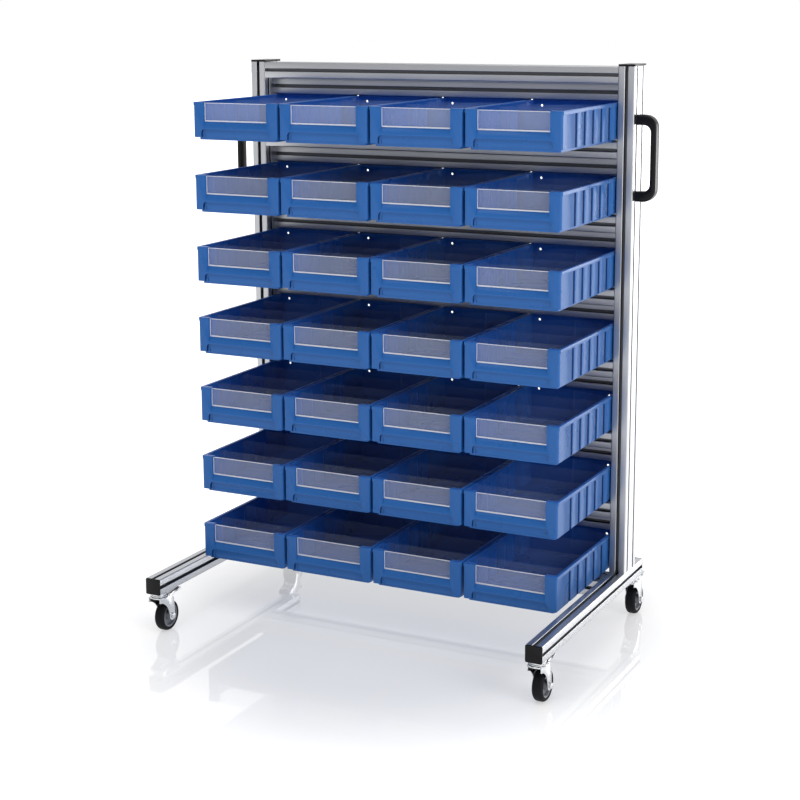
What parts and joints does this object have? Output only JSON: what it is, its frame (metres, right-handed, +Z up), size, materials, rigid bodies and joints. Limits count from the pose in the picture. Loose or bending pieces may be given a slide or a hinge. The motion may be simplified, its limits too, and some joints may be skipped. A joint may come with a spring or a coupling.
{
  "type": "bin trolley",
  "caption": "Mobile rack of slotted aluminium profile on braked swivel castors, with rows of blue pull-out shelf bins with clear front panes, and side handles for pushing.",
  "frame": {"origin": "on the floor under the middle of the whole trolley", "axes": "+Z up, the bin fronts face -Y, +X to the right seen from the front"},
  "size_m": [1.134, 0.712, 1.368],
  "materials": {
    "profile_aluminium": "satin anodised",
    "black_plastic": "satin",
    "screw_steel": "dark zinc",
    "zinc_steel": "bright zinc",
    "bin_plastic": "smooth moulded",
    "rim_plastic": "moulded",
    "tyre_rubber": "matt"
  },
  "bodies": {
    "frame": {"upright_left": "profile_aluminium", "upright_right": "profile_aluminium", "foot_left": "profile_aluminium", "foot_right": "profile_aluminium", "front_rails": "profile_aluminium", "rear_rails": "profile_aluminium", "base_beam": "profile_aluminium", "end_caps": "black_plastic", "frame_screws": "screw_steel", "handle_left": "black_plastic", "handle_right": "black_plastic", "castor_king_bolts": "zinc_steel"},
    "bin_r1_c1": {"bin_r1_c1": "bin_plastic"},
    "bin_r1_c2": {"bin_r1_c2": "bin_plastic"},
    "bin_r1_c3": {"bin_r1_c3": "bin_plastic"},
    "bin_r1_c4": {"bin_r1_c4": "bin_plastic"},
    "bin_r2_c1": {"bin_r2_c1": "bin_plastic"},
    "bin_r2_c2": {"bin_r2_c2": "bin_plastic"},
    "bin_r2_c3": {"bin_r2_c3": "bin_plastic"},
    "bin_r2_c4": {"bin_r2_c4": "bin_plastic"},
    "bin_r3_c1": {"bin_r3_c1": "bin_plastic"},
    "bin_r3_c2": {"bin_r3_c2": "bin_plastic"},
    "bin_r3_c3": {"bin_r3_c3": "bin_plastic"},
    "bin_r3_c4": {"bin_r3_c4": "bin_plastic"},
    "bin_r4_c1": {"bin_r4_c1": "bin_plastic"},
    "bin_r4_c2": {"bin_r4_c2": "bin_plastic"},
    "bin_r4_c3": {"bin_r4_c3": "bin_plastic"},
    "bin_r4_c4": {"bin_r4_c4": "bin_plastic"},
    "bin_r5_c1": {"bin_r5_c1": "bin_plastic"},
    "bin_r5_c2": {"bin_r5_c2": "bin_plastic"},
    "bin_r5_c3": {"bin_r5_c3": "bin_plastic"},
    "bin_r5_c4": {"bin_r5_c4": "bin_plastic"},
    "bin_r6_c1": {"bin_r6_c1": "bin_plastic"},
    "bin_r6_c2": {"bin_r6_c2": "bin_plastic"},
    "bin_r6_c3": {"bin_r6_c3": "bin_plastic"},
    "bin_r6_c4": {"bin_r6_c4": "bin_plastic"},
    "bin_r7_c1": {"bin_r7_c1": "bin_plastic"},
    "bin_r7_c2": {"bin_r7_c2": "bin_plastic"},
    "bin_r7_c3": {"bin_r7_c3": "bin_plastic"},
    "bin_r7_c4": {"bin_r7_c4": "bin_plastic"},
    "castor_front_left": {"castor_fork_front_left": "zinc_steel", "castor_axle_front_left": "zinc_steel"},
    "wheel_front_left": {"castor_rim_front_left": "rim_plastic", "castor_tyre_front_left": "tyre_rubber"},
    "pedal_front_left": {"brake_pedal_front_left": "zinc_steel"},
    "castor_rear_left": {"castor_fork_rear_left": "zinc_steel", "castor_axle_rear_left": "zinc_steel"},
    "wheel_rear_left": {"castor_rim_rear_left": "rim_plastic", "castor_tyre_rear_left": "tyre_rubber"},
    "pedal_rear_left": {"brake_pedal_rear_left": "zinc_steel"},
    "castor_front_right": {"castor_fork_front_right": "zinc_steel", "castor_axle_front_right": "zinc_steel"},
    "wheel_front_right": {"castor_rim_front_right": "rim_plastic", "castor_tyre_front_right": "tyre_rubber"},
    "pedal_front_right": {"brake_pedal_front_right": "zinc_steel"},
    "castor_rear_right": {"castor_fork_rear_right": "zinc_steel", "castor_axle_rear_right": "zinc_steel"},
    "wheel_rear_right": {"castor_rim_rear_right": "rim_plastic", "castor_tyre_rear_right": "tyre_rubber"},
    "pedal_rear_right": {"brake_pedal_rear_right": "zinc_steel"}
  },
  "joints": [
    {"name": "bin_r1_c1_pull", "type": "slide", "parent": "frame", "child": "bin_r1_c1", "axis": [0, -1, 0], "range_m": [0, 0.06]},
    {"name": "bin_r1_c2_pull", "type": "slide", "parent": "frame", "child": "bin_r1_c2", "axis": [0, -1, 0], "range_m": [0, 0.06]},
    {"name": "bin_r1_c3_pull", "type": "slide", "parent": "frame", "child": "bin_r1_c3", "axis": [0, -1, 0], "range_m": [0, 0.06]},
    {"name": "bin_r1_c4_pull", "type": "slide", "parent": "frame", "child": "bin_r1_c4", "axis": [0, -1, 0], "range_m": [0, 0.06]},
    {"name": "bin_r2_c1_pull", "type": "slide", "parent": "frame", "child": "bin_r2_c1", "axis": [0, -1, 0], "range_m": [0, 0.06]},
    {"name": "bin_r2_c2_pull", "type": "slide", "parent": "frame", "child": "bin_r2_c2", "axis": [0, -1, 0], "range_m": [0, 0.06]},
    {"name": "bin_r2_c3_pull", "type": "slide", "parent": "frame", "child": "bin_r2_c3", "axis": [0, -1, 0], "range_m": [0, 0.06]},
    {"name": "bin_r2_c4_pull", "type": "slide", "parent": "frame", "child": "bin_r2_c4", "axis": [0, -1, 0], "range_m": [0, 0.06]},
    {"name": "bin_r3_c1_pull", "type": "slide", "parent": "frame", "child": "bin_r3_c1", "axis": [0, -1, 0], "range_m": [0, 0.06]},
    {"name": "bin_r3_c2_pull", "type": "slide", "parent": "frame", "child": "bin_r3_c2", "axis": [0, -1, 0], "range_m": [0, 0.06]},
    {"name": "bin_r3_c3_pull", "type": "slide", "parent": "frame", "child": "bin_r3_c3", "axis": [0, -1, 0], "range_m": [0, 0.06]},
    {"name": "bin_r3_c4_pull", "type": "slide", "parent": "frame", "child": "bin_r3_c4", "axis": [0, -1, 0], "range_m": [0, 0.06]},
    {"name": "bin_r4_c1_pull", "type": "slide", "parent": "frame", "child": "bin_r4_c1", "axis": [0, -1, 0], "range_m": [0, 0.06]},
    {"name": "bin_r4_c2_pull", "type": "slide", "parent": "frame", "child": "bin_r4_c2", "axis": [0, -1, 0], "range_m": [0, 0.06]},
    {"name": "bin_r4_c3_pull", "type": "slide", "parent": "frame", "child": "bin_r4_c3", "axis": [0, -1, 0], "range_m": [0, 0.06]},
    {"name": "bin_r4_c4_pull", "type": "slide", "parent": "frame", "child": "bin_r4_c4", "axis": [0, -1, 0], "range_m": [0, 0.06]},
    {"name": "bin_r5_c1_pull", "type": "slide", "parent": "frame", "child": "bin_r5_c1", "axis": [0, -1, 0], "range_m": [0, 0.06]},
    {"name": "bin_r5_c2_pull", "type": "slide", "parent": "frame", "child": "bin_r5_c2", "axis": [0, -1, 0], "range_m": [0, 0.06]},
    {"name": "bin_r5_c3_pull", "type": "slide", "parent": "frame", "child": "bin_r5_c3", "axis": [0, -1, 0], "range_m": [0, 0.06]},
    {"name": "bin_r5_c4_pull", "type": "slide", "parent": "frame", "child": "bin_r5_c4", "axis": [0, -1, 0], "range_m": [0, 0.06]},
    {"name": "bin_r6_c1_pull", "type": "slide", "parent": "frame", "child": "bin_r6_c1", "axis": [0, -1, 0], "range_m": [0, 0.06]},
    {"name": "bin_r6_c2_pull", "type": "slide", "parent": "frame", "child": "bin_r6_c2", "axis": [0, -1, 0], "range_m": [0, 0.06]},
    {"name": "bin_r6_c3_pull", "type": "slide", "parent": "frame", "child": "bin_r6_c3", "axis": [0, -1, 0], "range_m": [0, 0.06]},
    {"name": "bin_r6_c4_pull", "type": "slide", "parent": "frame", "child": "bin_r6_c4", "axis": [0, -1, 0], "range_m": [0, 0.06]},
    {"name": "bin_r7_c1_pull", "type": "slide", "parent": "frame", "child": "bin_r7_c1", "axis": [0, -1, 0], "range_m": [0, 0.06]},
    {"name": "bin_r7_c2_pull", "type": "slide", "parent": "frame", "child": "bin_r7_c2", "axis": [0, -1, 0], "range_m": [0, 0.06]},
    {"name": "bin_r7_c3_pull", "type": "slide", "parent": "frame", "child": "bin_r7_c3", "axis": [0, -1, 0], "range_m": [0, 0.06]},
    {"name": "bin_r7_c4_pull", "type": "slide", "parent": "frame", "child": "bin_r7_c4", "axis": [0, -1, 0], "range_m": [0, 0.06]},
    {"name": "swivel_front_left", "type": "hinge", "parent": "frame", "child": "castor_front_left", "pos_m": [-0.495, -0.331, 0.1], "axis": [0, 0, 1], "continuous": true},
    {"name": "roll_front_left", "type": "hinge", "parent": "castor_front_left", "child": "wheel_front_left", "pos_m": [-0.495, -0.301, 0.0375], "axis": [1, 0, 0], "continuous": true},
    {"name": "brake_front_left", "type": "hinge", "parent": "castor_front_left", "child": "pedal_front_left", "pos_m": [-0.495, -0.313, 0.0827], "axis": [1, 0, 0], "range_deg": [-12, 0]},
    {"name": "swivel_rear_left", "type": "hinge", "parent": "frame", "child": "castor_rear_left", "pos_m": [-0.495, 0.281, 0.1], "axis": [0, 0, 1], "continuous": true},
    {"name": "roll_rear_left", "type": "hinge", "parent": "castor_rear_left", "child": "wheel_rear_left", "pos_m": [-0.495, 0.311, 0.0375], "axis": [1, 0, 0], "continuous": true},
    {"name": "brake_rear_left", "type": "hinge", "parent": "castor_rear_left", "child": "pedal_rear_left", "pos_m": [-0.495, 0.299, 0.0827], "axis": [1, 0, 0], "range_deg": [-12, 0]},
    {"name": "swivel_front_right", "type": "hinge", "parent": "frame", "child": "castor_front_right", "pos_m": [0.495, -0.331, 0.1], "axis": [0, 0, 1], "continuous": true},
    {"name": "roll_front_right", "type": "hinge", "parent": "castor_front_right", "child": "wheel_front_right", "pos_m": [0.495, -0.301, 0.0375], "axis": [1, 0, 0], "continuous": true},
    {"name": "brake_front_right", "type": "hinge", "parent": "castor_front_right", "child": "pedal_front_right", "pos_m": [0.495, -0.313, 0.0827], "axis": [1, 0, 0], "range_deg": [-12, 0]},
    {"name": "swivel_rear_right", "type": "hinge", "parent": "frame", "child": "castor_rear_right", "pos_m": [0.495, 0.281, 0.1], "axis": [0, 0, 1], "continuous": true},
    {"name": "roll_rear_right", "type": "hinge", "parent": "castor_rear_right", "child": "wheel_rear_right", "pos_m": [0.495, 0.311, 0.0375], "axis": [1, 0, 0], "continuous": true},
    {"name": "brake_rear_right", "type": "hinge", "parent": "castor_rear_right", "child": "pedal_rear_right", "pos_m": [0.495, 0.299, 0.0827], "axis": [1, 0, 0], "range_deg": [-12, 0]}
  ]
}
